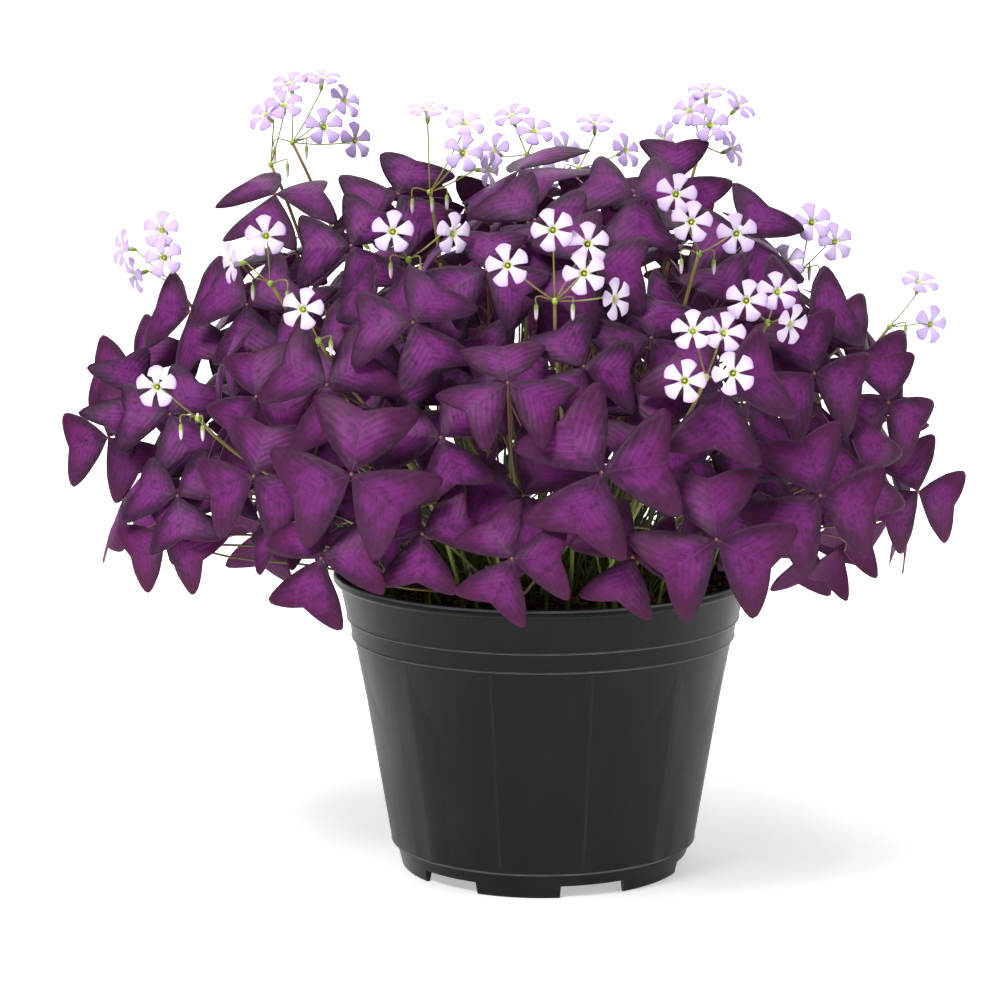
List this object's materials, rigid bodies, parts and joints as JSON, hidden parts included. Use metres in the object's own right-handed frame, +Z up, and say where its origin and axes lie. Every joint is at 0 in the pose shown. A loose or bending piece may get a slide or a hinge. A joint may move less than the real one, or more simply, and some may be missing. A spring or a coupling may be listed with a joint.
{
  "type": "purple shamrock in a nursery pot",
  "caption": "Purple shamrock with a dome of three-part dark purple leaves and pale lilac flower umbels, growing from soil in a tapered black plastic nursery pot.",
  "frame": {"origin": "centre of the pot's underside, on the surface that the pot stands on", "axes": "+Z up along the pot's axis, -Y towards the front of the plant, +X to the plant's right as seen from the front"},
  "size_m": [0.4565, 0.4118, 0.4063],
  "materials": {
    "pot_plastic": "satin",
    "potting_soil": "rough",
    "leaf_surface": "satin",
    "flower_surface": "matte"
  },
  "bodies": {
    "root": {"pot": "pot_plastic", "soil": "potting_soil", "flower_umbel_01": "flower_surface", "flower_umbel_02": "flower_surface", "flower_umbel_03": "flower_surface", "flower_umbel_04": "flower_surface", "flower_umbel_05": "flower_surface", "flower_umbel_06": "flower_surface", "flower_umbel_07": "flower_surface", "flower_umbel_08": "flower_surface", "flower_umbel_09": "flower_surface", "flower_umbel_10": "flower_surface", "flower_umbel_11": "flower_surface", "flower_umbel_12": "flower_surface", "flower_umbel_13": "flower_surface", "flower_umbel_14": "flower_surface", "flower_umbel_15": "flower_surface", "flower_umbel_16": "flower_surface", "flower_umbel_17": "flower_surface", "flower_umbel_18": "flower_surface", "flower_umbel_19": "flower_surface", "leaf_tuft_01": "leaf_surface", "leaf_tuft_02": "leaf_surface", "leaf_tuft_03": "leaf_surface", "leaf_tuft_04": "leaf_surface", "leaf_tuft_05": "leaf_surface", "leaf_tuft_06": "leaf_surface", "leaf_tuft_07": "leaf_surface", "leaf_tuft_08": "leaf_surface", "leaf_tuft_09": "leaf_surface", "leaf_tuft_10": "leaf_surface", "leaf_tuft_11": "leaf_surface", "leaf_tuft_12": "leaf_surface", "leaf_tuft_13": "leaf_surface", "leaf_tuft_14": "leaf_surface", "leaf_tuft_15": "leaf_surface", "leaf_tuft_16": "leaf_surface", "leaf_tuft_17": "leaf_surface", "leaf_tuft_18": "leaf_surface", "leaf_tuft_19": "leaf_surface", "leaf_tuft_20": "leaf_surface", "leaf_tuft_21": "leaf_surface", "leaf_tuft_22": "leaf_surface", "leaf_tuft_23": "leaf_surface", "leaf_tuft_24": "leaf_surface", "leaf_tuft_25": "leaf_surface", "leaf_tuft_26": "leaf_surface", "leaf_tuft_27": "leaf_surface", "leaf_tuft_28": "leaf_surface", "leaf_tuft_29": "leaf_surface", "leaf_tuft_30": "leaf_surface", "leaf_tuft_31": "leaf_surface", "leaf_tuft_32": "leaf_surface"}
  },
  "joints": []
}
